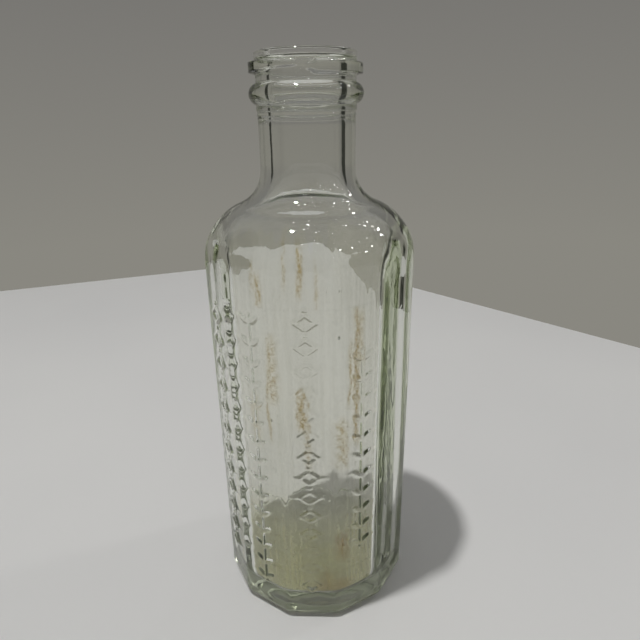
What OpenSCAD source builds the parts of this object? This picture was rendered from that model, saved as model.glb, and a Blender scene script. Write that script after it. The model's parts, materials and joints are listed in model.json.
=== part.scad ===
// Empty medicine bottle of pale aqua glass.
// A twelve-sided body with a domed shoulder, a round neck and a one-turn screw finish.
// Five neighbouring panels carry a raised ornament, and the old contents have
// dried on the inside as thin films.
// Origin: centre of the base, on the table. +Z is up and the middle ornamented panel faces -Y.

/* [Body] */
// Width across two opposite flat panels
body_w = 57; // [54:0.5:64]
// Overall height, from the table to the top of the lip
height = 159; // [154:0.5:175]
// Number of flat panels around the body
panels = 12; // [10:2:12]
// Radius of the rounded heel at the foot of the panels
heel_r = 3.5; // [1:0.5:4]
// Width of the hollow under the base
push_up_w = 42; // [30:1:46]
// Depth of the hollow under the base
push_up_d = 2; // [0.5:0.25:3]

/* [Shoulder] */
// Height where the straight panels end
dome_z = 106.5; // [95:0.5:110]
// Radius of the domed shoulder
dome_r = 17; // [15:0.5:19]
// Radius of the hollow curve from the shoulder into the neck
fillet_r = 10; // [8:0.5:12]

/* [Cavity] */
// Thickness of the glass behind a flat panel
wall = 4.1; // [3:0.1:5]
// Height of the cavity's floor
floor_z = 7; // [5:0.25:9]
// Radius between the cavity's floor and its wall
floor_fillet_r = 3; // [1:0.5:5]
// Radius of the bore through the neck
bore_r = 9.1; // [8:0.1:10]

/* [Finish] */
// Radius of the neck
neck_r = 12.7; // [12:0.1:13.2]
// Radius of the bead below the thread
bead_r = 14.7; // [14:0.1:16]
// Radius over the thread
thread_r = 14.45; // [13.8:0.05:15]
// How far the thread rises in one full turn
thread_lead = 0.9; // [0.5:0.1:1.5]

/* [Ornament] */
// How far the ornament stands out of its panel
relief = 0.45; // [0.2:0.05:0.6]
// Width of the ornament across its panel
ornament_w = 6.2; // [4:0.2:8]

/* [Residue] */
// Thickness of the dried films
film_t = 0.15; // [0.1:0.05:0.4]

/* [Hidden] */
$fn = 96;

glass_colour = [0.72, 0.82, 0.76, 0.55];
stain_colour = [0.45, 0.33, 0.20];
dregs_colour = [0.62, 0.42, 0.14];

// Body: the corners between the panels are rounded off to this radius from the axis
panel_r = body_w / 2;
body_r = panel_r + 0.7;

// Cavity: it is round, and its dome starts a little higher than the outer one,
// so the glass thins towards the shoulder
cavity_r = panel_r - wall;
cavity_dome_z = dome_z + 2.7;
cavity_dome_r = dome_r - 6;
cavity_fillet_r = fillet_r + 4.5;

// Finish, measured down from the lip
lip_r = neck_r + 0.2;
lip_h = 1.4;
lip_round = 0.6;
mouth_round = 0.8;
thread_z = height - 3.85;
thread_h = 3;
thread_edge = 0.5;
thread_root_r = neck_r - 0.7;
bead_round = 2.7;
bead_z = height - 9.7;
collar_r = neck_r + 0.25;
collar_z = height - 13.9;
collar_h = 2;
seam_z = height - 14.7;
seam_r = 0.15;

// The thread runs anticlockwise, seen from above, from one end to the other.
// It starts bluntly and fades out over a long taper.
thread_from = -83;
thread_turn = 346;
thread_steps = 60;
thread_start_taper = 10;
thread_end_taper = 75;

// Ornament: each panel is [steps from the front panel, lowest point, highest point, pitch, kind]
lozenges = 0;
sprig = 1;
ornaments = [
    [-3, 14, 98, 6.5, sprig],
    [-2, 14, 98, 7, lozenges],
    [-1, 11, 104, 6, sprig],
    [0, 10, 104, 6.5, lozenges],
    [1, 25, 91, 6, sprig]
];
stroke = 1.15;
dot_r = 0.6;

// Residue: where the film on the wall meets the film under the shoulder
film_seam_z = dome_z - 6.5;

// How high the centre of the curve into the neck lies above the foot of the dome
function fillet_rise(body, neck, dome, fillet) =
    sqrt(pow(dome + fillet, 2) - pow(neck + fillet - body + dome, 2));

// Half section of a straight wall, a domed shoulder and a neck, filled to the axis.
// The wall runs from the bottom up to dome_foot, where the dome starts.
module shouldered_section(body, neck, dome, fillet, bottom, dome_foot, top) {
    dome_centre = [body - dome, dome_foot];
    fillet_centre = [neck + fillet, dome_foot + fillet_rise(body, neck, dome, fillet)];
    translate([0, bottom]) square([body, dome_foot - bottom]);
    intersection() {
        translate(dome_centre) circle(dome);
        translate([0, dome_foot]) square([body, dome]);
    }
    translate([0, dome_foot]) square([dome_centre.x, dome]);
    difference() {
        polygon([[0, dome_foot], dome_centre, fillet_centre, [0, fillet_centre.y]]);
        translate(fillet_centre) circle(fillet);
    }
    translate([0, dome_foot]) square([neck, top - dome_foot]);
}

// What a rounded lower corner at [r, z] takes off a half section
module corner_cut(r, z, round_r) {
    difference() {
        translate([r - round_r, z - 1]) square([round_r + 1, round_r + 1]);
        translate([r - round_r, z + round_r]) circle(round_r);
    }
}

// Half section of a raised band with rounded outer edges
module band_section(r, z, h, edge) {
    translate([0, z]) square([r - edge, h]);
    translate([0, z + edge]) square([r, h - 2 * edge]);
    for (edge_z = [z + edge, z + h - edge])
        translate([r - edge, edge_z]) circle(edge);
}

// The cavity's half section. An inset draws the skin inside of it.
module cavity_section(inset = 0) {
    difference() {
        shouldered_section(cavity_r - inset, bore_r - inset, cavity_dome_r - inset,
                           cavity_fillet_r + inset, floor_z + inset, cavity_dome_z, height + 1);
        corner_cut(cavity_r - inset, floor_z + inset, floor_fillet_r - inset);
    }
}

module mouth_section() {
    difference() {
        translate([0, height - mouth_round]) square([bore_r + mouth_round, mouth_round + 1]);
        translate([bore_r + mouth_round, height - mouth_round]) circle(mouth_round);
    }
}

module outer_section() {
    push_up_sphere_r = (pow(push_up_w / 2, 2) + pow(push_up_d, 2)) / (2 * push_up_d);
    difference() {
        shouldered_section(body_r, neck_r, dome_r, fillet_r, 0, dome_z, height - lip_h);
        corner_cut(body_r, 0, heel_r);
        translate([0, push_up_d - push_up_sphere_r]) circle(push_up_sphere_r, $fn = 360);
    }
    translate([neck_r - 1, seam_z - seam_r]) square([1 + seam_r, 2 * seam_r]);
    band_section(collar_r, collar_z, collar_h, 0.2);
    translate([0, bead_z - bead_round]) square([bead_r - bead_round, 2 * bead_round]);
    translate([bead_r - bead_round, bead_z]) circle(bead_round);
    band_section(lip_r, height - lip_h, lip_h, lip_round);
}

// One ring of the thread's skin. Fade is 1 where it is full and falls to 0 at its ends.
function thread_ring(turn) =
    let (
        fade = min(1, turn / thread_start_taper, (thread_turn - turn) / thread_end_taper),
        angle = thread_from + turn,
        crest_r = thread_root_r + (thread_r - thread_root_r) * (0.5 + 0.5 * fade),
        half_h = thread_h / 2 * (0.3 + 0.7 * fade),
        edge = thread_edge * (0.4 + 0.6 * fade),
        middle_z = thread_z + thread_lead * (turn / 360 - 0.5),
        section = [
            [thread_root_r, -half_h - 0.2],
            [crest_r - edge, -half_h],
            [crest_r, -half_h + edge],
            [crest_r, half_h - edge],
            [crest_r - edge, half_h],
            [thread_root_r, half_h + 0.2]
        ]
    )
    [for (p = section) [p.x * cos(angle), p.x * sin(angle), middle_z + p.y]];

module thread() {
    sides = 6;
    points = [for (i = [0 : thread_steps]) each thread_ring(thread_turn * i / thread_steps)];
    skin = [
        for (i = [0 : thread_steps - 1], j = [0 : sides - 1])
            let (
                a = i * sides + j,
                b = i * sides + (j + 1) % sides
            )
            each [[a, b, b + sides], [a, b + sides, a + sides]]
    ];
    start_cap = [[for (j = [sides - 1 : -1 : 0]) j]];
    end_cap = [[for (j = [0 : sides - 1]) thread_steps * sides + j]];
    polyhedron(points, concat(skin, start_cap, end_cap));
}

// A chain of hollow diamonds with a dot between each pair, along +Y
module lozenge_chain(length, pitch) {
    count = floor(length / pitch);
    half_w = ornament_w / 2;
    half_l = pitch * 0.36;
    inner = 1 - stroke / half_l;
    for (i = [0 : count - 1])
        translate([0, (i + 0.5) * pitch]) {
            difference() {
                polygon([[half_w, 0], [0, half_l], [-half_w, 0], [0, -half_l]]);
                polygon(inner * [[half_w, 0], [0, half_l], [-half_w, 0], [0, -half_l]]);
            }
            translate([0, pitch / 2]) circle(dot_r, $fn = 8);
        }
}

// A straight stem with a pair of slanted leaves at each step, along +Y
module leafy_sprig(length, pitch) {
    count = floor(length / pitch);
    leaf_l = ornament_w * 0.62;
    translate([-stroke / 3, 0]) square([stroke * 2 / 3, (count - 0.3) * pitch]);
    for (i = [0 : count - 1], side = [-1, 1])
        translate([0, (i + 0.2) * pitch])
            rotate(side * -52)
                polygon([
                    [0, 0],
                    [stroke * 0.6, leaf_l * 0.35],
                    [stroke * 0.5, leaf_l * 0.7],
                    [0, leaf_l],
                    [-stroke * 0.5, leaf_l * 0.7],
                    [-stroke * 0.6, leaf_l * 0.35]
                ]);
}

module panel_ornament(panel, low, high, pitch, kind) {
    sunk = 0.5;
    rotate(panel * 360 / panels)
        translate([0, sunk - panel_r, low])
            rotate([90, 0, 0])
                linear_extrude(sunk + relief)
                    if (kind == sprig) leafy_sprig(high - low, pitch);
                    else lozenge_chain(high - low, pitch);
}

module glass_bottle() {
    color(glass_colour)
    difference() {
        union() {
            intersection() {
                rotate_extrude() outer_section();
                rotate(180 / panels)
                    cylinder(h = height, r = panel_r / cos(180 / panels), $fn = panels);
            }
            thread();
            for (o = ornaments) panel_ornament(o[0], o[1], o[2], o[3], o[4]);
        }
        rotate_extrude() cavity_section();
        rotate_extrude() mouth_section();
    }
}

// A thin film on the cavity's skin, between two angles seen from above and two heights.
// Angle 0 is the middle of the front panel, and positive angles go towards +X.
module film(from, to, low, high, inner_r = 0) {
    rotate(from - 90)
        rotate_extrude(angle = to - from)
            intersection() {
                difference() {
                    cavity_section();
                    cavity_section(film_t);
                }
                translate([inner_r, low]) square([cavity_r + 1 - inner_r, high - low]);
            }
}

module shoulder_stain() {
    color(stain_colour) film(-52, 50, film_seam_z, dome_z + 10);
}

module wall_stain() {
    color(stain_colour) film(-52, 50, floor_z + 9, film_seam_z);
}

module dregs() {
    color(dregs_colour) film(-16, 52, floor_z, floor_z + 8, 6);
}

glass_bottle();
shoulder_stain();
wall_stain();
dregs();
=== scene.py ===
"""A twelve-sided glass medicine bottle, empty, with the dried residue of its contents inside.

Lengths are in millimetres while a mesh is worked out, and in metres in Blender.
Angles on the bottle are in degrees from the middle of the front panel (-Y), positive towards +X.
"""

import json
import math

import bpy
import numpy as np
from mathutils import Matrix, Vector


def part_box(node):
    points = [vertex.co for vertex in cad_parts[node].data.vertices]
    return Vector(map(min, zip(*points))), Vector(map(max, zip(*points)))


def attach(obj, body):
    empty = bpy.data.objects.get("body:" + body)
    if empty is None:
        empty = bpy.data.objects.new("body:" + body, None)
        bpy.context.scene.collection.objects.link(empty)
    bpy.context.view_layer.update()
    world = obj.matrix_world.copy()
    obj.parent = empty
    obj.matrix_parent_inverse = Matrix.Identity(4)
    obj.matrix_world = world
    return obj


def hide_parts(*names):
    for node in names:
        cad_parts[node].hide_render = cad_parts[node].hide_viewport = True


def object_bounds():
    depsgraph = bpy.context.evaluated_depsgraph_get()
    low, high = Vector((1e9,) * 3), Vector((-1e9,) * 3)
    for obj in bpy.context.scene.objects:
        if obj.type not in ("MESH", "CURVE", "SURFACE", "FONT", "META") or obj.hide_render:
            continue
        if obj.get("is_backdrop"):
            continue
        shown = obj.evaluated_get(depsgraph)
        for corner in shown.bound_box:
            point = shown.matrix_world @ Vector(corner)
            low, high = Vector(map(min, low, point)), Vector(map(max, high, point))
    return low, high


MM = 0.001
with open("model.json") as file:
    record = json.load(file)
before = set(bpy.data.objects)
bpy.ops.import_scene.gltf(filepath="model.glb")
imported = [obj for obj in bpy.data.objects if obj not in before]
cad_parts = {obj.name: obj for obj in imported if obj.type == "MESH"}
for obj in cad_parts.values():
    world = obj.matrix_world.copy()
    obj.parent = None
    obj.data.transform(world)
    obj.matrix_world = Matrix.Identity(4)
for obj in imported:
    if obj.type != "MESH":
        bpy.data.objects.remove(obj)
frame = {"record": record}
cad_low, cad_high = (np.array(corner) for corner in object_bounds())

# --- What the frame says -------------------------------------------------------------------

mounts = {m["name"]: m for m in frame["record"]["mounts"]}
HEIGHT = cad_high[2] / MM
APOTHEM = cad_high[0] / MM
RELIEF = -cad_low[1] / MM - APOTHEM
BORE_R = mounts["neck_bore"]["dims"]["r_mm"]
FLOOR_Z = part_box("dregs")[0][2] / MM

# --- The glass's own shape -----------------------------------------------------------------

PANELS = 12
PANEL_STEP = 360 / PANELS
CORNER_BLEND = 0.6
SHOULDER_BLEND = 0.7

# The turned body reaches just past the panels' corners, so that every panel is cut from it
BODY_R = APOTHEM / math.cos(math.radians(PANEL_STEP / 2)) + 0.1
DOME_Z = 106.3
DOME_R = 17.2
FILLET_R = 10
NECK_R = 12.7
HEEL_R = 3.5
PUSH_UP_R = 21
PUSH_UP_D = 2

# From this height up nothing is left of the panels
ROUND_FROM_Z = 114.5

CAVITY_R = 24.4
CAVITY_DOME_Z = 109.2
CAVITY_DOME_R = 11
CAVITY_FILLET_R = 14.5
FLOOR_FILLET_R = 2

# Nearer than this to the axis the cavity's floor is exactly round, and bare of residue
CENTRE_R = 4

# How far the cavity's outline follows the panels, and the height from which it is round
CAVITY_PANELLED = 0.7
CAVITY_ROUND_Z = 118

# The wall is thicker on the right. Each pair is where that is 0 and where it is full
THICK_SIDE = 1.2
THICK_FRONT = (30, 75)
THICK_BACK = (160, 110)
THICK_TOP = (118, 102)

SEAM_Z = HEIGHT - 14.7
SEAM_OUT = 0.14
COLLAR_Z = HEIGHT - 13.9
COLLAR_R = NECK_R + 0.25
COLLAR_ROUND = 0.3
BEAD_Z = HEIGHT - 9.7
BEAD_R = 14.7
BEAD_ROUND = 2.7
LIP_R = NECK_R + 0.2
LIP_H = 1.4
LIP_ROUND = 0.55
MOUTH_ROUND = 0.8
GROOVE_R = NECK_R + 0.1

THREAD_R = 14.4
THREAD_Z = HEIGHT - 3.85
THREAD_H = 3
THREAD_LEAD = 0.9
THREAD_START = 7
THREAD_TURN = 346
THREAD_START_TAPER = 8
THREAD_END_TAPER = 75

# The foot below this height has no ornament
PLAIN_TOP_Z = 9

ORNAMENT_W = 6.2
STROKE = 1.15
DOT_R = 0.6
LEAF_TILT = 52
RELIEF_EDGE = (0.28, -0.22)
LOZENGES = "lozenges"
SPRIG = "sprig"

# Ornament: panel counted from the front one, lowest and highest point, pitch, pattern
ORNAMENTS = [
    (-3, 14, 98, 6.5, SPRIG),
    (-2, 14, 98, 7, LOZENGES),
    (-1, 11, 104, 6, SPRIG),
    (0, 10, 104, 6.5, LOZENGES),
    (1, 25, 91, 6, SPRIG),
]

# Seeds: tiny bubbles caught in the wall, as angle, height and half their length
SEEDS = [(17, 93, 0.45), (-20, 69, 0.4), (27, 34, 0.5), (-47, 58, 0.35), (62, 40, 0.35), (104, 77, 0.5),
         (131, 23, 0.4), (166, 88, 0.45), (-95, 101, 0.4), (-128, 49, 0.5), (-152, 18, 0.35), (78, 99, 0.3)]
SEED_DEPTH = 1.6
SEED_SLIM = 0.6
SEED_COLUMNS = 10
SEED_BANDS = 8

# Residue: its gap to the glass, thinnest and thickest film, and its points' spacing along and round
FILM_CLEARANCE = 0.06
FILM_THIN = 0.03
FILM_THICK = 0.13
FILM_STEP = 0.7
FILM_TURN = 0.8
LEAST_SHOWN = 0.03

# Where the residue ends: round the wall, at the top, and where one piece meets the next
FILM_LEFT = -60
FILM_RIGHT = 84
FILM_TOP_Z = 119
FILM_SEAM_Z = 100
DREGS_TOP_Z = FLOOR_Z + 9

# Runs of dried drops, as angle, lowest and highest point, half width in degrees and strength
SHOULDER_RUNS = [(-3, 104, 115, 1.3, 1.0), (-26, 99, 108, 1.8, 0.8), (-31, 104, 110, 1.2, 0.5),
                 (6, 100, 111, 1.0, 0.45), (-12, 106, 117, 0.9, 0.4)]
WALL_RUNS = [(-20, 74, 92, 2.2, 0.55), (-23, 62, 84, 1.2, 0.5), (-3, 66, 77, 2.6, 1.0),
             (-1, 54, 70, 1.4, 0.4), (29, 60, 99, 1.7, 0.95), (25, 72, 90, 1.1, 0.6),
             (20, 54, 68, 3.5, 0.55), (33, 84, 98, 1.6, 0.5), (20, 21, 29, 3.2, 0.75),
             (-34, 60, 74, 2.5, 0.4)]


def smooth_step(edge_0, edge_1, x):
    """0 at edge_0, 1 at edge_1 and a smooth change between."""
    t = np.clip((x - edge_0) / (edge_1 - edge_0), 0, 1)
    return t * t * (3 - 2 * t)


def smooth_min(a, b, blend):
    """The smaller of a and b, rounded off where they cross."""
    h = np.clip(0.5 + 0.5 * (b - a) / blend, 0, 1)
    return b * (1 - h) + a * h - blend * h * (1 - h)


def ripple(angle, z, seed, waves, around, along):
    """A smooth random wave on a round surface, about -1 to 1. The same seed gives the same wave.

    Around is the least and the most crests round the surface, and along the most radians a millimetre.
    """
    rng = np.random.default_rng(seed)
    total = 0
    for _ in range(waves):
        count = rng.integers(around[0], around[1] + 1)
        rise = rng.uniform(-along, along)
        phase = rng.uniform(0, 2 * math.pi)
        total = total + np.sin(count * np.radians(angle) + rise * z + phase)
    return total / math.sqrt(waves) / 1.4


# --- Profiles: lists of (radius, height) points ---------------------------------------------


def arc(centre, radius, start, end, steps):
    """Points on an arc, from one angle to another, in degrees from +radius towards +height."""
    angles = np.radians(np.linspace(start, end, steps + 1))
    return [(centre[0] + radius * math.cos(a), centre[1] + radius * math.sin(a)) for a in angles]


def straight(start, end, step):
    """Evenly spaced points on a line, both ends included."""
    count = max(1, round(math.dist(start, end) / step))
    return [tuple(p) for p in np.linspace(start, end, count + 1)]


def shoulder(body_r, neck_r, dome_r, fillet_r, dome_z, steps):
    """The dome and the hollow curve that lead from the straight body up to the neck."""
    dome = (body_r - dome_r, dome_z)
    across = neck_r + fillet_r - dome[0]
    rise = math.sqrt((dome_r + fillet_r) ** 2 - across**2)
    fillet = (neck_r + fillet_r, dome_z + rise)
    lean = math.degrees(math.atan2(rise, across))
    dome_steps = round(steps * dome_r / (dome_r + fillet_r))
    upper = arc(dome, dome_r, 0, lean, dome_steps)
    lower = arc(fillet, fillet_r, 180 + lean, 180, steps - dome_steps)
    return upper + lower[1:]


def without_repeats(points):
    """The same points without neighbours that coincide."""
    kept = [points[0]]
    for p in points[1:]:
        if math.dist(p, kept[-1]) > 1e-3:
            kept.append(p)
    return kept


# --- The outer skin --------------------------------------------------------------------------


def panel_offset(angle):
    """How far an angle is from the middle of its own panel."""
    return (angle + PANEL_STEP / 2) % PANEL_STEP - PANEL_STEP / 2


def prism_radius(angle):
    """Distance from the axis to the panelled body, with its corners rounded."""
    offset = np.abs(panel_offset(angle))
    own = APOTHEM / np.cos(np.radians(offset))
    next_one = APOTHEM / np.cos(np.radians(PANEL_STEP - offset))
    return smooth_min(own, next_one, CORNER_BLEND)


def panelled(angle, share):
    """What turns a circle through the panels' middles into the panelled outline, at share 1."""
    return 1 + share * (prism_radius(angle) / APOTHEM - 1)


def raised(distance):
    """Height of a soft-edged relief, from the signed distance to its outline."""
    return RELIEF * smooth_step(*RELIEF_EDGE, distance)


def lozenge_height(u, z, low, high, pitch):
    """A chain of hollow diamonds with a dot between each pair."""
    count = math.floor((high - low) / pitch)
    cell = np.clip(np.floor((z - low) / pitch), 0, count - 1)
    v = z - low - (cell + 0.5) * pitch
    half_w = ORNAMENT_W / 2 - STROKE * 0.4
    half_l = pitch * 0.36 - STROKE * 0.3
    slope = half_w * half_l / math.hypot(half_w, half_l)
    to_line = np.abs(np.abs(u) / half_w + np.abs(v) / half_l - 1) * slope
    dot_cell = np.clip(np.round((z - low) / pitch), 1, count)
    to_dot = np.hypot(u, z - low - dot_cell * pitch)
    return np.maximum(raised(to_line - STROKE * 0.32), raised(to_dot - DOT_R))


def sprig_height(u, z, low, high, pitch):
    """A straight stem with a pair of slanted leaves at each step."""
    count = math.floor((high - low) / pitch)
    top = low + (count - 0.3) * pitch
    stem = np.maximum(np.abs(u) - STROKE * 0.3, np.maximum(low - z, z - top))
    height = raised(stem)
    leaf_l = ORNAMENT_W * 0.62
    tilt = math.radians(LEAF_TILT)
    for back in (0, 1):
        cell = np.clip(np.floor((z - low) / pitch - 0.2) - back, 0, count - 1)
        v = z - low - (cell + 0.2) * pitch
        along = np.abs(u) * math.sin(tilt) + v * math.cos(tilt)
        aside = np.abs(u) * math.cos(tilt) - v * math.sin(tilt)
        share = np.clip(along / leaf_l, 0, 1)
        half_w = STROKE * 0.62 * np.sin(math.pi * share**0.85)
        leaf = np.maximum(np.abs(aside) - half_w, np.maximum(-along, along - leaf_l))
        height = np.maximum(height, raised(leaf))
    return height


def ornament_height(angle, z):
    """How far the ornament stands out of the panels."""
    angle, z = np.broadcast_arrays(angle, z)
    height = np.zeros(angle.shape)
    for panel, low, high, pitch, pattern in ORNAMENTS:
        middle = panel * PANEL_STEP
        offset = (angle - middle + 180) % 360 - 180
        here = (np.abs(offset) < PANEL_STEP / 2) & (z > low - 1) & (z < high + 1)
        u = APOTHEM * np.tan(np.radians(offset[here]))
        shape = lozenge_height if pattern == LOZENGES else sprig_height
        height[here] = shape(u, z[here], low, high, pitch)
    return height


def thread_radius(angle, z):
    """Radius of the one-turn thread's skin. It starts bluntly and fades out over a long taper."""
    turn = (angle - THREAD_START) % 360
    start = smooth_step(0, THREAD_START_TAPER, turn)
    end = smooth_step(THREAD_TURN, THREAD_TURN - THREAD_END_TAPER, turn)
    fade = start * end * (turn < THREAD_TURN)
    half_h = THREAD_H / 2 * (0.45 + 0.55 * fade)
    middle = THREAD_Z + THREAD_LEAD * (turn / 360 - 0.5)
    share = np.abs(z - middle) / half_h
    crest = (THREAD_R - GROOVE_R) * (0.35 + 0.65 * fade) * (fade > 0.001)
    return GROOVE_R + crest * smooth_step(1.12, 0.74, share)


def outer_wave(angles, z):
    """How far the outer skin wanders. It is livelier on the shoulder, and even at the foot."""
    on_shoulder = smooth_step(100, 108, z) * smooth_step(128, 120, z)
    slow = 0.05 * ripple(angles, z, 11, 9, (2, 9), 0.16)
    fine = (0.014 + 0.022 * on_shoulder) * ripple(angles, z, 12, 9, (10, 30), 0.9)
    return (slow + fine) * smooth_step(0, 12, z)


def outer_ring(angles, radius, z):
    """Points of one ring of the outer skin, from its place on the profile."""
    angles = np.asarray(angles, float)
    r = np.full(angles.shape, float(radius))
    if z < HEEL_R:
        r = r * panelled(angles, smooth_step(PUSH_UP_R, BODY_R - HEEL_R, radius))
    elif z < SEAM_Z:
        r = smooth_min(r, prism_radius(angles), SHOULDER_BLEND)
        if z < DOME_Z:
            r = r + ornament_height(angles, z)
    if BEAD_Z + BEAD_ROUND * 0.8 < z < HEIGHT - 0.6:
        r = np.maximum(r, thread_radius(angles, z))
    return ring_points(angles, r + outer_wave(angles, z) * smooth_step(6, 20, r), z)


def outer_profile():
    """Bands of the outer skin from the middle of the base up to the lip: (columns, points)."""
    push_up_sphere = (PUSH_UP_R**2 + PUSH_UP_D**2) / (2 * PUSH_UP_D)
    top_of_push_up = math.degrees(math.asin(PUSH_UP_R / push_up_sphere))
    push_up = arc((0, PUSH_UP_D - push_up_sphere), push_up_sphere, 88, 90 - top_of_push_up, 9)
    land = straight((PUSH_UP_R + 0.5, 0), (APOTHEM - HEEL_R - 0.5, 0), 1)
    heel = arc((APOTHEM - HEEL_R, HEEL_R), HEEL_R, -90, -4, 10)
    foot = straight((BODY_R, HEEL_R + 0.2), (BODY_R, PLAIN_TOP_Z), 1.2)
    wall = straight((BODY_R, PLAIN_TOP_Z + 0.5), (BODY_R, DOME_Z - 1), 0.4)
    dome = shoulder(BODY_R, NECK_R, DOME_R, FILLET_R, DOME_Z, 72)
    split = next(i for i, p in enumerate(dome) if p[1] > ROUND_FROM_Z)
    neck_foot = dome[-1][1]
    # Points close together on both sides of a crease keep it crisp
    finish = straight((NECK_R, neck_foot), (NECK_R, SEAM_Z - 0.3), 2)
    finish += [(NECK_R + SEAM_OUT, SEAM_Z - 0.12), (NECK_R + SEAM_OUT, SEAM_Z + 0.12)]
    finish += [(NECK_R, SEAM_Z + 0.3), (NECK_R, COLLAR_Z - 0.1)]
    finish += arc((COLLAR_R - COLLAR_ROUND, COLLAR_Z + COLLAR_ROUND), COLLAR_ROUND, -90, 0, 3)
    finish += [(COLLAR_R, BEAD_Z - BEAD_ROUND - 0.2)]
    finish += arc((BEAD_R - BEAD_ROUND, BEAD_Z), BEAD_ROUND, -68, 72, 16)
    finish += [(GROOVE_R, BEAD_Z + BEAD_ROUND + 0.15)]
    finish += straight((GROOVE_R, BEAD_Z + BEAD_ROUND + 0.4), (GROOVE_R, HEIGHT - LIP_H - 0.15), 0.19)
    finish += [(LIP_R, HEIGHT - LIP_H + 0.15)]
    finish += arc((LIP_R - LIP_ROUND, HEIGHT - LIP_ROUND), LIP_ROUND, 0, 90, 5)
    finish += arc((BORE_R + MOUTH_ROUND, HEIGHT - MOUTH_ROUND), MOUTH_ROUND, 90, 180, 5)
    return [
        (round_columns(72), push_up),
        (panel_columns(dense=False), land + heel + foot),
        (panel_columns(dense=True), wall),
        (panel_columns(dense=False), dome[:split]),
        (round_columns(144), dome[split:] + finish),
    ]


# --- The inner skin --------------------------------------------------------------------------


def cavity_wave(angle, z):
    """How far the inside of blown glass wanders from its even shape."""
    slow = 0.22 * ripple(angle, z, 21, 7, (1, 4), 0.07)
    streaks = 0.04 * ripple(angle, z, 22, 10, (6, 16), 0.10)
    fine = 0.007 * ripple(angle, z, 23, 10, (14, 40), 0.55)
    return slow + streaks + fine


def thick_side(angle, radius, z):
    """How much thicker the wall is on the right than elsewhere, because blown glass is uneven."""
    around = smooth_step(*THICK_FRONT, angle) * smooth_step(*THICK_BACK, angle)
    return THICK_SIDE * around * smooth_step(CENTRE_R, CAVITY_R, radius) * smooth_step(*THICK_TOP, z)


def inner_ring(angles, radius, z, inset=(0, 0)):
    """Points of one ring of the cavity's skin. An inset, out and up, brings it into the cavity."""
    angles = np.asarray(angles, float)
    # The bore is true at the mouth and nearly so all down the neck
    calm = smooth_step(HEIGHT - 3, HEIGHT - 25, z)
    in_neck = 1 - 0.65 * smooth_step(115, 130, z)
    amount = calm * in_neck * smooth_step(0, 14, radius)
    corners = CAVITY_PANELLED * smooth_step(CAVITY_ROUND_Z, DOME_Z, z)
    corners = corners * smooth_step(CENTRE_R, CAVITY_R, radius)
    r = radius * panelled(angles, corners) - thick_side(angles, radius, z)
    r = r + cavity_wave(angles, z) * amount
    floor_wave = 0.12 * ripple(angles, radius, 24, 6, (1, 3), 0.25)
    on_floor = smooth_step(22, 12, radius) * smooth_step(0, 6, radius) * (z < FLOOR_Z + 0.6)
    return ring_points(angles, r + inset[0], z + floor_wave * on_floor + inset[1])


def inner_profile():
    """Points of the cavity's skin, from the neck down to the middle of the floor."""
    dome = shoulder(CAVITY_R, BORE_R, CAVITY_DOME_R, CAVITY_FILLET_R, CAVITY_DOME_Z, 44)
    down = straight((BORE_R, HEIGHT - 1.6), (BORE_R, dome[-1][1]), 2.2)
    down += dome[::-1]
    down += straight((CAVITY_R, CAVITY_DOME_Z), (CAVITY_R, FLOOR_Z + FLOOR_FILLET_R), 2.2)
    fillet = (CAVITY_R - FLOOR_FILLET_R, FLOOR_Z + FLOOR_FILLET_R)
    down += arc(fillet, FLOOR_FILLET_R, 0, -90, 7)
    down += straight((fillet[0], FLOOR_Z), (1, FLOOR_Z), 2.2)
    return without_repeats(down)


# --- Mesh building ---------------------------------------------------------------------------


def ring_points(angles, r, z):
    """Points round the axis, in millimetres."""
    a = np.radians(angles)
    return np.stack([r * np.sin(a), -r * np.cos(a), np.broadcast_to(z, a.shape)], axis=1)


def round_columns(count):
    """Evenly spaced angles from half a panel left of the front."""
    return np.arange(count) * 360 / count - PANEL_STEP / 2


def panel_columns(dense):
    """Angles gathered at the corners. Dense ones are gathered on the ornament too."""
    corner = [-2.3, -1.3, -0.6, 0, 0.6, 1.3, 2.3]
    even = list(np.arange(-10.8, 10.9, 1.8))
    fine = [-9.5] + list(np.arange(-6.3, 6.31, 0.6)) + [9.5]
    bare = [-10, -5, 0, 5, 10]
    ornamented = {panel % PANELS for panel, *_ in ORNAMENTS}
    angles = []
    for panel in range(PANELS):
        inside = even
        if dense:
            inside = fine if panel in ornamented else bare
        angles += [panel * PANEL_STEP + a for a in inside]
        angles += [(panel + 0.5) * PANEL_STEP + a for a in corner]
    angles = np.array(sorted(angles))
    first = np.searchsorted(angles, 360 - PANEL_STEP / 2 - 1e-6)
    return np.concatenate([angles[first:] - 360, angles[:first]])


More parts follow.
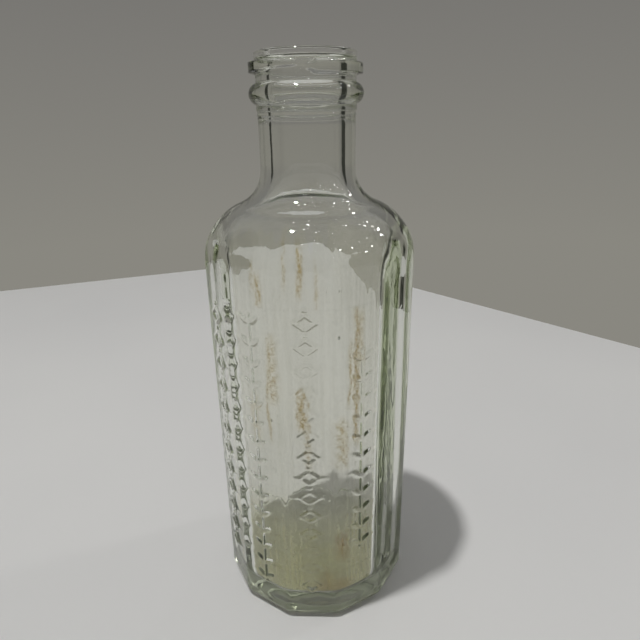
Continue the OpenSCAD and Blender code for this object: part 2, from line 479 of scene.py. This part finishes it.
class Skin:
    """A closed skin built ring by ring. Rings may differ in their number of points."""

    def __init__(self):
        self.points = []
        self.faces = []
        self.count = 0
        self.last = None

    def add(self, points):
        """Stores points and returns their numbers."""
        numbers = np.arange(self.count, self.count + len(points))
        self.points.append(np.asarray(points, float))
        self.count += len(points)
        return numbers

    def start(self, point):
        """Starts the skin at one point on the axis."""
        self.last = (None, self.add([point]))

    def ring(self, angles, points):
        """Joins a new ring on to the last one."""
        new = (np.asarray(angles), self.add(points))
        old_angles, old = self.last
        if old_angles is None:
            for i in range(len(angles)):
                self.faces.append((old[0], new[1][(i + 1) % len(angles)], new[1][i]))
        elif len(old) == len(angles):
            nexts = np.roll(old, -1), np.roll(new[1], -1)
            self.faces += list(zip(old, nexts[0], nexts[1], new[1]))
        else:
            self.stitch(old_angles, old, *new)
        self.last = new

    def stitch(self, old_angles, old, new_angles, new):
        """Triangles between two rings whose points lie at different angles."""
        i = j = 0
        old_turn = np.append(old_angles, old_angles[0] + 360)
        new_turn = np.append(new_angles, new_angles[0] + 360)
        while i < len(old) or j < len(new):
            a, b = old[i % len(old)], new[j % len(new)]
            if j == len(new) or (i < len(old) and old_turn[i + 1] <= new_turn[j + 1]):
                i += 1
                self.faces.append((a, old[i % len(old)], b))
            else:
                j += 1
                self.faces.append((a, new[j % len(new)], b))

    def finish(self, point):
        """Closes the skin at one point on the axis."""
        angles, ring = self.last
        end = self.add([point])[0]
        for i in range(len(angles)):
            self.faces.append((ring[i], ring[(i + 1) % len(ring)], end))

    def build(self, name):
        """Makes the Blender object, in metres, no bigger than the CAD model's box."""
        points = np.concatenate(self.points) * MM
        points = np.clip(points, cad_low, cad_high)
        return make_object(name, points, [tuple(int(v) for v in f) for f in self.faces])


def make_object(name, points, faces):
    """A smooth-shaded mesh object from points in metres."""
    mesh = bpy.data.meshes.new(name)
    mesh.from_pydata([tuple(p) for p in points], [], faces)
    mesh.validate()
    mesh.polygons.foreach_set("use_smooth", [True] * len(mesh.polygons))
    obj = bpy.data.objects.new(name, mesh)
    bpy.context.scene.collection.objects.link(obj)
    return obj


def add_seed(skin, angle, z, half_l):
    """A small bubble inside the wall, drawn out along the bottle, as a skin facing its hollow."""
    a = math.radians(angle)
    r = APOTHEM - SEED_DEPTH
    middle = np.array([r * math.sin(a), -r * math.cos(a), z])
    columns = np.arange(SEED_COLUMNS) * 360 / SEED_COLUMNS
    skin.start(middle + (0, 0, half_l))
    for band in range(1, SEED_BANDS):
        lean = math.pi * band / SEED_BANDS
        radius = half_l * SEED_SLIM * math.sin(lean)
        skin.ring(columns, middle + ring_points(columns, radius, half_l * math.cos(lean)))
    skin.finish(middle - (0, 0, half_l))


def build_glass():
    """The one-piece bottle: outer skin up from the base, over the lip and down into the cavity."""
    skin = Skin()
    skin.start((0, 0, PUSH_UP_D))
    for columns, profile in outer_profile():
        for r, z in without_repeats(profile):
            skin.ring(columns, outer_ring(columns, r, z))
    columns = round_columns(96)
    for r, z in inner_profile():
        skin.ring(columns, inner_ring(columns, r, z))
    skin.finish((0, 0, FLOOR_Z))
    for angle, z, half_l in SEEDS:
        add_seed(skin, angle, z, half_l)
    return skin.build("bottle_glass")


# --- Residue ---------------------------------------------------------------------------------


def resampled(path, step):
    """Points at an even step along a path."""
    path = np.array(path)
    lengths = np.concatenate([[0], np.cumsum(np.hypot(*np.diff(path, axis=0).T))])
    places = np.linspace(0, lengths[-1], round(lengths[-1] / step) + 1)
    return np.stack([np.interp(places, lengths, path[:, i]) for i in (0, 1)], axis=1)


def nearest(values, wanted):
    """The place in a list of the value nearest to the wanted one."""
    return int(np.argmin(np.abs(values - wanted)))


def cavity_path():
    """Points down the cavity's wall and in over its floor, with the normals that face into it."""
    path = resampled(inner_profile(), FILM_STEP)
    tangents = np.gradient(path, axis=0)
    tangents /= np.hypot(*tangents.T)[:, None]
    return path, np.stack([tangents[:, 1], -tangents[:, 0]], axis=1)


def film_faces(kept):
    """Faces of a closed film over the cells it covers, the skin towards the glass first."""
    wide = kept.shape[1] + 1
    layer = (kept.shape[0] + 1) * wide
    around = np.pad(kept, 1)
    faces = []
    for i, j in zip(*np.nonzero(kept)):
        a = i * wide + j
        b, c, d = a + 1, a + wide, a + wide + 1
        faces.append((a, c, d, b))
        faces.append((a + layer, b + layer, d + layer, c + layer))
        sides = [(around[i, j + 1], a, b), (around[i + 2, j + 1], d, c),
                 (around[i + 1, j], c, a), (around[i + 1, j + 2], b, d)]
        faces += [(p, q, q + layer, p + layer) for covered, p, q in sides if not covered]
    return faces


def build_film(name, angles, path, normals, amounts):
    """A thin closed film of residue. Amounts gives its bloom, its stain and how olive the bloom is."""
    rows = [np.broadcast_arrays(*amounts(angles, r, z)) for r, z in path]
    bloom, stain, olive = (np.array(values) for values in zip(*rows))
    amount = np.clip(bloom + stain, 0, 1)
    thickness = FILM_THIN + (FILM_THICK - FILM_THIN) * amount
    layers = []
    for inside in (0, 1):
        for row, ((r, z), normal) in enumerate(zip(path, normals)):
            depth = FILM_CLEARANCE + inside * thickness[row]
            layers.append(inner_ring(angles, r, z, (depth * normal[0], depth * normal[1])))
    present = amount > LEAST_SHOWN
    kept = present[:-1, :-1] | present[1:, :-1] | present[:-1, 1:] | present[1:, 1:]
    faces = np.array(film_faces(kept))
    used, numbers = np.unique(faces, return_inverse=True)
    points = np.concatenate(layers)[used] * MM
    film = make_object(name, points, [tuple(f) for f in numbers.reshape(faces.shape).tolist()])
    channels = [np.tile(values.ravel(), 2)[used] for values in (bloom, stain, olive)]
    colours = np.stack([*channels, np.ones(len(used))], axis=1)
    residue = film.data.attributes.new("residue", "FLOAT_COLOR", "POINT")
    residue.data.foreach_set("color", colours.ravel())
    return film


def runs(angle, z, dried, seed):
    """Where drops ran down the wall and dried, 0 to 1, with wandering ragged edges."""
    total = np.zeros(np.shape(angle))
    for number, (middle, low, high, half_w, strength) in enumerate(dried):
        wander = 1.1 * ripple(0, z, seed + number, 4, (1, 1), 0.5)
        across = np.exp(-(((angle - middle - wander) / half_w) ** 2))
        along = smooth_step(low - 2.5, low + 2.5, z) * smooth_step(high + 2.5, high - 2.5, z)
        ragged = np.clip(0.6 + 0.55 * ripple(angle, z, seed + 50 + number, 9, (40, 150), 2.2), 0, 1)
        total = np.maximum(total, strength * across * along * ragged)
    return total


def wall_bloom(angle, z):
    """The cloudy bloom on the wall, 0 to 1, drawn out into fine upright streaks."""
    clouds = 0.32 * ripple(angle, z, 32, 7, (2, 9), 0.09)
    streaks = 0.10 * ripple(angle, z, 33, 12, (30, 130), 0.05)
    sides = smooth_step(FILM_LEFT, -38, angle) * smooth_step(FILM_RIGHT, 40, angle)
    edge = 3 * ripple(angle, 0, 34, 8, (5, 40), 1)
    ends = smooth_step(2, 9, z + edge) * smooth_step(FILM_TOP_Z, 103, z + edge)
    # Thicker bloom low down: partly residue that settled, partly painted light that brightens the shadowed
    # floor seen through the base
    settled_and_painted_light = 1 + 1.2 * smooth_step(46, 30, z)
    return np.clip((0.5 + 0.8 * clouds + streaks) * settled_and_painted_light, 0, 1.5) * sides * ends


def olive_low_and_painted_light(z):
    """How olive the bloom is, 0 to 1. It is olive low down: partly the residue's own colour, partly painted
    light that tints and brightens the shadowed floor seen through the base.
    """
    return smooth_step(48, 26, z)


def shoulder_amounts(angle, r, z):
    """What lies under the shoulder."""
    return wall_bloom(angle, z), runs(angle, z, SHOULDER_RUNS, 60), olive_low_and_painted_light(z)


def wall_amounts(angle, r, z):
    """What lies on the body's wall."""
    return wall_bloom(angle, z), runs(angle, z, WALL_RUNS, 70), olive_low_and_painted_light(z)


def floor_amounts(angle, r, z):
    """What lies on the cavity's floor and the foot of its wall, with one brown blot on the right."""
    inside = smooth_step(-58, -30, angle) * smooth_step(62, 40, angle)
    inside = inside * smooth_step(CENTRE_R, 12, r) * smooth_step(16.5, 12, z)
    blot = np.exp(-(((angle - 14) / 9) ** 2)) * smooth_step(14, 9, z) * smooth_step(13, 20, r)
    ragged = np.clip(0.7 + 0.4 * ripple(angle, r + z, 90, 9, (10, 50), 0.8), 0, 1)
    bloom = np.maximum(ragged * inside, wall_bloom(angle, z) * smooth_step(14, 22, r))
    return bloom, 0.7 * blot * ragged * inside, 1


def build_films():
    """The dried residue: each piece with its CAD node and its slot."""
    path, normals = cavity_path()
    radii, heights = path.T
    top = nearest(heights, FILM_TOP_Z)
    seam = nearest(heights, FILM_SEAM_Z)
    foot = nearest(heights, DREGS_TOP_Z)
    end = nearest(radii, CENTRE_R)
    around = np.arange(FILM_LEFT, FILM_RIGHT + FILM_TURN / 2, FILM_TURN)
    parts = [("residue_shoulder", "shoulder_stain", "stain", top, seam, shoulder_amounts),
             ("residue_wall", "wall_stain", "stain", seam, foot, wall_amounts),
             ("residue_floor", "dregs", "dregs", foot, end, floor_amounts)]
    films = []
    for name, node, slot, first, last, amounts in parts:
        rows = slice(first, last + 1)
        films.append((build_film(name, around, path[rows], normals[rows], amounts), node, slot))
    return films


# --- Materials -------------------------------------------------------------------------------

GLASS_IOR = 1.52
GLASS_TINT = (0.67, 0.73, 0.52, 1)
GLASS_DENSITY = 25

# The bloom's colour and the tint of what is seen through it, where it is pale and where it is olive. The
# olive ends are partly residue and partly painted light for the shadowed floor seen through the base
BLOOM_AND_PAINTED_LIGHT_COLOUR = [(0.0, (0.60, 0.585, 0.49)), (1.0, (0.59, 0.575, 0.34))]
BLOOM_AND_PAINTED_LIGHT_TINT = [(0.0, (1, 1, 0.985)), (1.0, (0.985, 0.985, 0.92))]
BLOOM_COVER = 0.38


class Nodes:
    """A short way to make and join the nodes of a material or of the world."""

    def __init__(self, owner, output="OutputMaterial"):
        owner.use_nodes = True
        self.owner = owner
        self.tree = owner.node_tree
        self.tree.nodes.clear()
        self.output = self.add(output)

    def add(self, kind, **values):
        """A node, with its properties or input values set by name."""
        node = self.tree.nodes.new("ShaderNode" + kind)
        for key, value in values.items():
            name = key.replace("_", " ")
            if name not in node.inputs.keys():
                setattr(node, key, value)
            elif isinstance(value, bpy.types.NodeSocket):
                self.link(value, node.inputs[name])
            else:
                node.inputs[name].default_value = value
        return node

    def link(self, source, target):
        """Joins two sockets."""
        self.tree.links.new(source, target)

    def times(self, a, b):
        """The product of a socket and another socket or a number."""
        node = self.add("Math", operation="MULTIPLY")
        self.link(a, node.inputs[0])
        if isinstance(b, bpy.types.NodeSocket):
            self.link(b, node.inputs[1])
        else:
            node.inputs[1].default_value = b
        return node.outputs[0]

    def times_plus(self, a, b, c, use_clamp=False):
        """A socket times a number, plus another socket."""
        node = self.add("Math", operation="MULTIPLY_ADD", use_clamp=use_clamp)
        self.link(a, node.inputs[0])
        node.inputs[1].default_value = b
        self.link(c, node.inputs[2])
        return node.outputs[0]

    def mix(self, factor, socket, colour):
        """A socket's colour, turned towards a fixed one by a factor."""
        node = self.add("Mix", data_type="RGBA")
        self.link(factor, node.inputs["Factor"])
        self.link(socket, node.inputs["A"])
        node.inputs["B"].default_value = (*colour, 1)
        return node.outputs["Result"]

    def ramp(self, factor, stops):
        """A colour ramp: stops are (place, grey or colour)."""
        node = self.add("ValToRGB")
        while len(node.color_ramp.elements) < len(stops):
            node.color_ramp.elements.new(0.5)
        for element, (place, value) in zip(node.color_ramp.elements, stops):
            element.position = place
            grey = isinstance(value, (int, float))
            element.color = (value, value, value, 1) if grey else (*value, 1)
        self.link(factor, node.inputs["Fac"])
        return node.outputs["Color"]


def glass_material():
    """Pale aqua glass: clear, tinted by its depth, with faint orange peel and scuffs."""
    n = Nodes(bpy.data.materials.new("pale_aqua_glass"))
    place = n.add("TexCoord").outputs["Object"]
    peel = n.add("TexNoise", Vector=place, Scale=260, Detail=2)
    drawn = n.add("Mapping", Vector=place, Scale=(1, 1, 0.18))
    lines = n.add("TexNoise", Vector=drawn.outputs[0], Scale=420, Detail=2)
    uneven = n.times_plus(lines.outputs["Fac"], 0.6, peel.outputs["Fac"])
    bump = n.add("Bump", Strength=0.12, Distance=0.0002, Height=uneven)
    scuffs = n.add("TexNoise", Vector=place, Scale=90, Detail=6, Roughness=0.7)
    rough = n.ramp(scuffs.outputs["Fac"], [(0.5, 0.01), (0.72, 0.05)])
    shader = n.add("BsdfPrincipled", Base_Color=(1, 1, 1, 1), Transmission_Weight=1, IOR=GLASS_IOR)
    n.link(rough, shader.inputs["Roughness"])
    n.link(bump.outputs[0], shader.inputs["Normal"])
    n.link(shader.outputs[0], n.output.inputs["Surface"])
    depth = n.add("VolumeAbsorption", Color=GLASS_TINT, Density=GLASS_DENSITY)
    n.link(depth.outputs[0], n.output.inputs["Volume"])
    return n.owner


def residue_amounts(n):
    """How much bloom and how much stain there is, with their grain, and how olive the bloom is."""
    residue = n.add("Attribute", attribute_name="residue").outputs["Color"]
    split = n.add("SeparateColor", Color=residue)
    place = n.add("TexCoord").outputs["Object"]
    drawn = n.add("Mapping", Vector=place, Scale=(1, 1, 0.07))
    streaks = n.add("TexNoise", Vector=drawn.outputs[0], Scale=1400, Detail=3, Roughness=0.6)
    specks = n.add("TexNoise", Vector=place, Scale=1700, Detail=4, Roughness=0.75)
    bloom_streaks = n.ramp(streaks.outputs["Fac"], [(0.35, 0.65), (0.65, 1.0)])
    bloom_specks = n.ramp(specks.outputs["Fac"], [(0.38, 0.7), (0.62, 1.0)])
    stain_specks = n.ramp(specks.outputs["Fac"], [(0.42, 0.15), (0.60, 1.0)])
    bloom = n.times(n.times(split.outputs["Red"], bloom_streaks), bloom_specks)
    stain = n.times(split.outputs["Green"], stain_specks)
    return bloom, stain, split.outputs["Blue"]


def residue_material(name, stain_colour, stain_tint, stain_cover):
    """A dried see-through film: a pale or olive bloom, and brown where drops dried. The olive bloom is
    partly painted light.
    """
    n = Nodes(bpy.data.materials.new(name))
    bloom, stain, olive = residue_amounts(n)
    cover = n.times_plus(stain, stain_cover, n.times(bloom, BLOOM_COVER), use_clamp=True)
    dried = n.ramp(stain, [(0.0, 0.0), (0.15, 1.0)])
    colour = n.mix(dried, n.ramp(olive, BLOOM_AND_PAINTED_LIGHT_COLOUR), stain_colour)
    tint = n.mix(stain, n.ramp(olive, BLOOM_AND_PAINTED_LIGHT_TINT), stain_tint)
    crust = n.add("BsdfPrincipled", Base_Color=colour, Roughness=0.75)
    clear = n.add("BsdfTransparent", Color=tint)
    shader = n.add("MixShader", Fac=cover)
    n.link(clear.outputs[0], shader.inputs[1])
    n.link(crust.outputs[0], shader.inputs[2])
    n.link(shader.outputs[0], n.output.inputs["Surface"])
    return n.owner


def floor_material():
    """The matt pale surface that the bottle stands on."""
    n = Nodes(bpy.data.materials.new("pale_table"))
    place = n.add("TexCoord").outputs["Object"]
    clouds = n.add("TexNoise", Vector=place, Scale=6, Detail=2)
    tone = n.ramp(clouds.outputs["Fac"], [(0.3, (0.71, 0.71, 0.72)), (0.7, (0.75, 0.75, 0.755))])
    shader = n.add("BsdfPrincipled", Roughness=0.55)
    n.link(tone, shader.inputs["Base Color"])
    n.link(shader.outputs[0], n.output.inputs["Surface"])
    return n.owner


def finish_piece(obj, material, node):
    """Gives a piece its material and its body, and hides the CAD node that it stands for."""
    obj.data.materials.clear()
    obj.data.materials.append(material)
    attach(obj, "root")
    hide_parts(node)


# --- The stage -------------------------------------------------------------------------------

# Lamps: name, place, size, power and colour
LAMPS = [
    ("key", (-0.235, -0.15, 1.22), 0.06, 7.3, (1, 0.99, 0.96)),
    ("side", (0.75, 0.35, 0.75), 0.06, 0.7, (1, 0.98, 0.95)),
    ("front", (0.15, -0.95, 1.1), 0.03, 0.3, (0.97, 0.98, 1)),
    ("back", (0.35, 0.75, 1.0), 0.03, 0.25, (1, 0.98, 0.95)),
]
RESIDUE_LAMP = ("residue_front", (-0.10, -0.60, 0.55), 0.10, 2.3, (1, 1, 0.97))
LAMPS_AIM = (0, 0, 0.06)

# Small lamps: angle round the bottle from the front, elevation and size. An elevation past 90
# puts the lamp on the far side
GLINT_LAMPS = [(-8, 60, 0.026), (14, 68, 0.026), (30, 80, 0.026), (8, 96, 0.026), (38, 104, 0.026),
               (62, 72, 0.026), (-34, 86, 0.026), (33, 38, 0.035), (41, 46, 0.04), (70, 32, 0.04),
               (81, 36, 0.04), (108, 37, 0.045), (112, 67, 0.04), (115, 54, 0.045), (127, 51, 0.035),
               (58, 45, 0.035)]
GLINT_AWAY = 1.3
GLINT_POWER = 120

# The surroundings: tones from straight down, at 0, to straight up, at 1
SURROUNDINGS = [(0.40, (0.25, 0.243, 0.215)), (0.60, (0.185, 0.18, 0.168)),
                (0.80, (0.18, 0.18, 0.172)), (0.97, (0.26, 0.26, 0.25))]

# Dark flags far out behind the bottle, as angle from straight behind and half width. Height counts
# for less than angle in where a flag lies, by FLAG_SQUASH, which makes it tall
FLAGS = [(55, 6), (69, 7), (-62, 4)]
FLAG_COLOUR = (0.012, 0.014, 0.010)
FLAG_SQUASH = 0.3

# The floor ends behind the bottle in two straight edges that meet in a corner
FLOOR_GAP = 0.00002
FLOOR_CORNERS = [(-0.030, 0.404), (-0.60, 0.175), (-0.60, -0.60), (0.60, -0.60), (0.60, -0.225)]


def build_floor():
    """The pale floor, just under the base."""
    low = cad_low[2] - FLOOR_GAP
    corners = [(x, y, low) for x, y in FLOOR_CORNERS]
    floor = make_object("floor", corners, [tuple(range(len(corners)))])
    floor.data.polygons.foreach_set("use_smooth", [False])
    floor.data.materials.append(floor_material())
    floor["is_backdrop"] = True


def build_camera():
    """The camera stands a little above the lip, close by, and looks down at the bottle."""
    turn = math.radians(2.4)
    pitch = math.radians(21.4)
    roll = math.radians(-1.0)
    stand = Vector((0.0025, -0.1454, 0.1443))
    data = bpy.data.cameras.new("camera")
    data.sensor_width = 36
    data.lens = 29.46
    data.clip_start = 0.01
    camera = bpy.data.objects.new("camera", data)
    bpy.context.scene.collection.objects.link(camera)
    look = Matrix.Rotation(math.pi / 2 - pitch, 4, "X") @ Matrix.Rotation(roll, 4, "Z")
    camera.matrix_world = Matrix.Rotation(turn, 4, "Z") @ Matrix.Translation(stand) @ look
    bpy.context.scene.camera = camera


def round_lamp(name, place, size, power, colour=(1, 1, 1), only=None):
    """A round lamp that the camera doesn't see. It may light only the objects of one collection."""
    data = bpy.data.lights.new(name, "AREA")
    data.shape = "DISK"
    data.size = size
    data.energy = power
    data.color = colour
    light = bpy.data.objects.new(name, data)
    light.location = place
    way = Vector(LAMPS_AIM) - Vector(place)
    light.rotation_euler = way.to_track_quat("-Z", "Y").to_euler()
    light.visible_camera = False
    if only:
        light.visible_glossy = False
        light.visible_transmission = False
        light.light_linking.receiver_collection = only
        light.light_linking.blocker_collection = only
    bpy.context.scene.collection.objects.link(light)
    return light


def build_lights():
    """A high key from the front left, three weak lamps round the bottle, and the glints' own lamps."""
    for lamp in LAMPS:
        round_lamp(*lamp)
    for number, (azimuth, elevation, size) in enumerate(GLINT_LAMPS):
        away = GLINT_AWAY * math.cos(math.radians(elevation))
        side = math.radians(azimuth)
        rise = GLINT_AWAY * math.sin(math.radians(elevation))
        place = (away * math.sin(side), -away * math.cos(side), rise)
        glint = round_lamp("glint_%d" % number, place, size, GLINT_POWER * size**2)
        glint.visible_diffuse = False


def light_residue(films):
    """A lamp for the residue alone, in place of the light that comes to it through the glass."""
    inside = bpy.data.collections.new("residue")
    for film in films:
        inside.objects.link(film)
    round_lamp(*RESIDUE_LAMP, only=inside)


def flag_share(n, way, turn, half_width):
    """1 in the direction of an upright dark flag and 0 away from it."""
    squashed = n.add("VectorMath", operation="MULTIPLY")
    n.link(way, squashed.inputs[0])
    squashed.inputs[1].default_value = (1, 1, FLAG_SQUASH)
    level = n.add("VectorMath", operation="NORMALIZE")
    n.link(squashed.outputs[0], level.inputs[0])
    dot = n.add("VectorMath", operation="DOT_PRODUCT")
    n.link(level.outputs[0], dot.inputs[0])
    dot.inputs[1].default_value = (math.sin(math.radians(turn)), math.cos(math.radians(turn)), 0)
    edge = n.add("MapRange", interpolation_type="SMOOTHSTEP", Value=dot.outputs["Value"])
    edge.inputs["From Min"].default_value = math.cos(math.radians(half_width * 1.5))
    edge.inputs["From Max"].default_value = math.cos(math.radians(half_width))
    return edge.outputs[0]


def build_world():
    """Plain grey surroundings, with dark flags behind the bottle that show only through the glass."""
    world = bpy.data.worlds.new("surroundings")
    bpy.context.scene.world = world
    n = Nodes(world, "OutputWorld")
    way = n.add("TexCoord").outputs["Generated"]
    split = n.add("SeparateXYZ")
    n.link(way, split.inputs[0])
    height = n.add("MapRange", From_Min=-1, Value=split.outputs["Z"])
    colour = n.ramp(height.outputs[0], SURROUNDINGS)
    straight_on = n.add("LightPath").outputs["Is Camera Ray"]
    for turn, half_width in FLAGS:
        unseen = n.add("Math", operation="SUBTRACT", use_clamp=True)
        n.link(flag_share(n, way, turn, half_width), unseen.inputs[0])
        n.link(straight_on, unseen.inputs[1])
        colour = n.mix(unseen.outputs[0], colour, FLAG_COLOUR)
    background = n.add("Background", Color=colour)
    n.link(background.outputs[0], n.output.inputs["Surface"])


def set_bounces(cycles):
    """Lets light pass through many glass walls, which go black at the usual limits."""
    cycles.max_bounces = 24
    cycles.glossy_bounces = 16
    cycles.transmission_bounces = 24
    cycles.transparent_max_bounces = 16


bpy.context.scene.view_settings.view_transform = "Standard"
set_bounces(bpy.context.scene.cycles)
build_camera()
build_floor()
build_lights()
build_world()

glass = build_glass()
finish_piece(glass, glass_material(), "glass_bottle")
materials = {
    "stain": residue_material("dried_residue", (0.42, 0.30, 0.10), (0.82, 0.70, 0.38), 0.45),
    "dregs": residue_material("dried_dregs", (0.44, 0.33, 0.11), (0.82, 0.70, 0.36), 0.40),
}
films = build_films()
for film, node, slot in films:
    finish_piece(film, materials[slot], node)
light_residue([film for film, node, slot in films])
